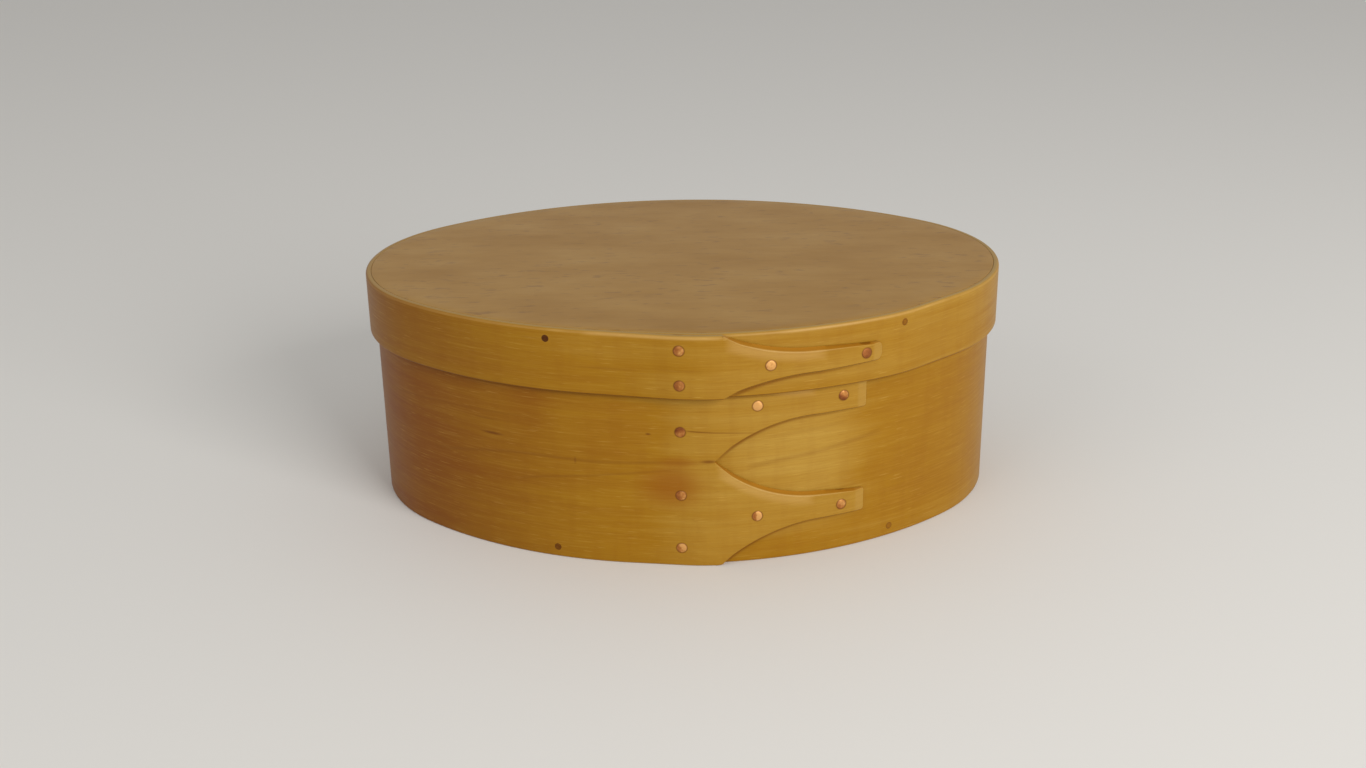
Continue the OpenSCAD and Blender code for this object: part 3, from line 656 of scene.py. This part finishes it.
# painted shade in the corner under every finger, as a dark line on the layer below, and painted sheen as a soft pale
# band along the finger's rounded upper edge
def edgeShadeAndSheen(fingers, rims, layerBelow, face):
    s = np.linspace(fingers["root"], fingers["length"] - fingers["corner"] - 0.5, 20)
    along = 0.01 * np.interp(lineAngle + s / face, *layerBelow)
    near = 0.01 * (s[:14] + strip["lapShift"])
    lines = []
    for below, above in fingerSpans(fingers, rims["low"], rims["high"], s):
        lines.append((along[0], along[-1], (0.01 * below - 0.0050).tolist(), 0.0135, 0.0, 0.7, "under", 0.9))
        lines.append((near[0], near[-1], (0.01 * above[:14] - 0.020).tolist(), 0.032, 0.0, 0.2, "worn", 0.34))
    return lines


# grain lines, a painted shadow under the lid's rim and painted highlights along the lid's ridge: from, to, heights,
# half width, wandering, thinning, colour and strength
boxLines = [(-0.85, 0.10, (0.268, 0.298, 0.322, 0.325, 0.324, 0.331, 0.336), 0.009, 0.012, 0.0, "line", 0.36),
            (-0.53, 0.0, (0.238, 0.262, 0.280, 0.296, 0.312), 0.007, 0.012, 0.0, "line", 0.3),
            (-1.1, -0.45, (0.41, 0.425, 0.438, 0.445), 0.007, 0.012, 0.0, "line", 0.2),
            (0.0, 0.215, (0.433, 0.428, 0.424, 0.419), 0.0038, 0.002, 0.4, "pore", 0.85),
            (0.17 - turnLength, 0.62 - turnLength, (0.305, 0.318, 0.330, 0.345, 0.360), 0.013, 0.01, 0.0, "line", 0.26),
            (0.24 - turnLength, 0.5 - turnLength, (0.395, 0.402, 0.412), 0.01, 0.01, 0.0, "line", 0.12),
            # painted shadow of the lid's rim on the box's wall
            (0.1 - turnLength, 0.57, (0.5335, 0.5335, 0.5335), 0.008, 0.0, 0.0, "under", 0.4)]
# painted highlight along the lid's rounded top ridge
lidRidgeHighlights = [(-0.30, 0.12, (0.7262, 0.7258, 0.7262), 0.007, 0.0, 0.0, "worn", 0.34),
            (0.1 - turnLength, 0.75 - turnLength, (0.7262, 0.7258, 0.7262), 0.006, 0.0, 0.4, "worn", 0.3)]
# flecks and stains: along, up, half length, half height, colour, strength
boxSpots = [(-0.595, 0.371, 0.055, 0.0065, "pore", 0.9), (-0.62, 0.415, 0.06, 0.005, "line", 0.35),
            (-0.105, 0.419, 0.012, 0.005, "pore", 0.8), (-0.325, 0.323, 0.006, 0.016, "line", 0.6),
            (0.07, 0.337, 0.035, 0.008, "pore", 0.75),
            (-0.04, 0.258, 0.135, 0.10, "smudge", 0.7), (-0.02, 0.335, 0.08, 0.025, "smudge", 0.4)]
lidSpots = [(-0.45, 0.70, 0.05, 0.004, "line", 0.2), (-0.22, 0.625, 0.12, 0.006, "line", 0.2),
            (0.0, 0.63, 0.09, 0.006, "line", 0.2)]
boardTones = dict(dark="#976c20", warm="#9f7426", light="#a67c2e", fleck="#765020", line="#8a6124", pale="#b58d4a",
                  roughness=0.42, specular=0.4)
# lengths in metres along X, Y and Z: blotches 30 by 16 mm, streaks 25 by 4, fibres 10 by 0.6, and flecks 5 by 1.3,
# which is wider than real ones so that they show at this slant
boardPatterns = dict(blotch=((0.030, 0.016, 0.010), 3), streak=((0.025, 0.0040, 0.0030), 3),
                     fibre=((0.010, 0.0006, 0.0006), 2), fleck=((0.0050, 0.0013, 0.0013), 1),
                     patch=((0.028, 0.014, 0.010), 2))


# flat-sawn board under a thin satin finish: tan, with a faint blotchy figure and many short dark flecks along X
def makeBoardWood(name, offset):
    material, tree, shader = newMaterial(name)
    grain = noises(tree, node(tree, "TexCoord", out="Object"), offset, boardPatterns)
    tone = node(tree, "Math", {0: grain["streak"], 1: 0.3, 2: grain["blotch"]}, operation="MULTIPLY_ADD")
    colour = node(tree, "ValToRGB", {0: tone}, stops=[(0.4, boardTones["dark"]), (0.65, boardTones["warm"]),
                                                      (0.9, boardTones["light"])])
    flecked = node(tree, "Math", {0: grain["patch"], 1: 0.2, 2: grain["fleck"]}, operation="MULTIPLY_ADD")
    layers = [(grain["fibre"], 0.50, 0.30, boardTones["line"], 0.2),
              (grain["fibre"], 0.55, 0.75, boardTones["pale"], 0.12),
              (flecked, 0.72, 0.84, boardTones["fleck"], 0.5)]
    tree.links.new(coats(tree, colour, layers), shader.inputs["Base Color"])
    gloss = node(tree, "MapRange", {"Value": grain["blotch"], "To Min": boardTones["roughness"] + 0.08,
                                    "To Max": boardTones["roughness"] - 0.08})
    bump = node(tree, "Bump", {"Height": grain["fibre"], "Strength": 0.12, "Distance": 0.0001})
    tree.links.new(gloss, shader.inputs["Roughness"])
    tree.links.new(bump, shader.inputs["Normal"])
    shader.inputs["Specular IOR Level"].default_value = boardTones["specular"]
    return material


# handled copper, hammered flat: peach where it is worn and where it shows painted reflection, with a painted dark
# reflection on one side of each head, brown in the dents and round the rim
def makeCopper(name):
    material, tree, shader = newMaterial(name)
    patches = noises(tree, node(tree, "TexCoord", out="Object"), (0, 0, 0), dict(patch=((0.0009,) * 3, 2)))["patch"]
    shade = node(tree, "Attribute", out="Fac", attribute_name="shade")
    tone = node(tree, "Math", {0: patches, 1: 0.7, 2: shade}, operation="MULTIPLY_ADD")
    colour = node(tree, "ValToRGB", {0: tone}, stops=[(0.1, "#74380a"), (0.6, "#9c5c24"), (0.85, "#b67838"),
                                                      (1.0, "#d49c58")])
    rim = node(tree, "Attribute", out="Fac", attribute_name="rim")
    tree.links.new(coats(tree, colour, [(rim, 0.0, 1.0, "#5f2e08", 0.75)]), shader.inputs["Base Color"])
    shader.inputs["Metallic"].default_value = 0.55  # half hidden by brown tarnish and old varnish
    gloss = node(tree, "MapRange", {"Value": patches, "To Min": 0.55, "To Max": 0.38})
    bump = node(tree, "Bump", {"Height": patches, "Strength": 0.2, "Distance": 0.0002})
    tree.links.new(gloss, shader.inputs["Roughness"])
    tree.links.new(bump, shader.inputs["Normal"])
    return material


# end grain soaked with varnish, so that each peg reads as a dark spot with a lighter heart
def makePegWood(name):
    material, tree, shader = newMaterial(name)
    speckle = noises(tree, node(tree, "TexCoord", out="Object"), (0, 0, 0), dict(patch=((0.0004,) * 3, 3)))["patch"]
    shade = node(tree, "Attribute", out="Fac", attribute_name="shade")
    tone = node(tree, "Math", {0: speckle, 1: 0.6, 2: shade}, operation="MULTIPLY_ADD")
    colour = node(tree, "ValToRGB", {0: tone}, stops=[(0.0, "#401d00"), (0.25, "#5a3000"), (0.6, "#7d4d06"),
                                                      (1.0, "#9a6c14")])
    rim = node(tree, "Attribute", out="Fac", attribute_name="rim")
    tree.links.new(coats(tree, colour, [(rim, 0.6, 1.0, "#5a3000", 0.5)]), shader.inputs["Base Color"])
    bump = node(tree, "Bump", {"Height": speckle, "Strength": 0.2, "Distance": 0.0002})
    tree.links.new(bump, shader.inputs["Normal"])
    shader.inputs["Roughness"].default_value = 0.5
    shader.inputs["Specular IOR Level"].default_value = 0.15
    return material


# painted shade in the crevice round every tack's head: its middle, and how far the ring reaches
boxTackShadeRings = [(0.01 * (along + strip["lapShift"]), 0.01 * height, 0.0196, 0.0192) for along, height, *_ in boxTacks]
lidTackShadeRings = [(0.01 * (along + strip["lapShift"]), 0.01 * (lidStrip["low"] + height), 0.0196, 0.0192)
            for along, height, *_ in lidTacks]
boxEdgeShadeAndSheen = edgeShadeAndSheen(boxFingers, boxStrip, belowBox, boxFace)
lidEdgeShadeAndSheen = edgeShadeAndSheen(lidFingers, lidStrip, belowLid, lidFace)
boxMaple = makeMaple("boxMaple", (0, 0, 0), boxLines + boxEdgeShadeAndSheen, boxSpots, boxTackShadeRings)
lidMaple = makeMaple("lidMaple", (3.7, 1.9, 0), lidRidgeHighlights + lidEdgeShadeAndSheen, lidSpots, lidTackShadeRings)
baseWood = makeBoardWood("baseBoardWood", (5, 3, 1))
lidWood = makeBoardWood("lidBoardWood", (0, 0, 0))
copper = makeCopper("copper")
pegWood = makePegWood("pegEndGrain")
print("materials made")

fitted = [(boxBand, boxMaple, "box", "box_band", "band_maple"), (lidBand, lidMaple, "lid", "lid_band", "band_maple"),
          (baseBoard, baseWood, "box", "base_board", "board_wood"),
          (lidBoard, lidWood, "lid", "lid_board", "board_wood")]
fitted += [(made, copper, body, cadNode, "copper") for made, body, cadNode in tacks]
fitted += [(made, pegWood, body, cadNode, "peg_wood") for made, body, cadNode in pegs]
for piece, material, body, cadNode, slotName in fitted:
    piece.data.materials.append(material)
    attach(piece, body)
    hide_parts(cadNode)

# plain pale floor and soft studio light, mostly from the front right and low
lights = dict(world=0.5, key=dict(place=(0.75, -1.0, 0.55), size=0.7, power=14),
              fill=dict(place=(-0.9, -0.9, 0.7), size=0.9, power=3))
floorMesh = bpy.data.meshes.new("floor")
floorMesh.from_pydata([(-6, -6, 0), (6, -6, 0), (6, 6, 0), (-6, 6, 0)], [], [(0, 1, 2, 3)])
floor = bpy.data.objects.new("floor", floorMesh)
bpy.context.scene.collection.objects.link(floor)
floorPaint, _, floorShader = newMaterial("floorPaint")
floorShader.inputs["Base Color"].default_value = linear("#e2dfd9")
floorShader.inputs["Roughness"].default_value = 0.8
floor.data.materials.append(floorPaint)
world = bpy.data.worlds.new("studio")
bpy.context.scene.world = world
world.use_nodes = True
world.node_tree.nodes["Background"].inputs["Color"].default_value = (1, 1, 1, 1)
world.node_tree.nodes["Background"].inputs["Strength"].default_value = lights["world"]


def areaLight(name, target=(0, 0, 0.04)):
    values = lights[name]
    data = bpy.data.lights.new(name, "AREA")
    data.size, data.energy = values["size"], values["power"]
    lamp = bpy.data.objects.new(name, data)
    lamp.location = values["place"]
    lamp.rotation_euler = (Vector(target) - Vector(values["place"])).to_track_quat("-Z", "Y").to_euler()
    bpy.context.scene.collection.objects.link(lamp)


areaLight("key")
areaLight("fill")
bpy.context.scene.view_settings.view_transform = "Standard"
print("floor, lights and camera set")
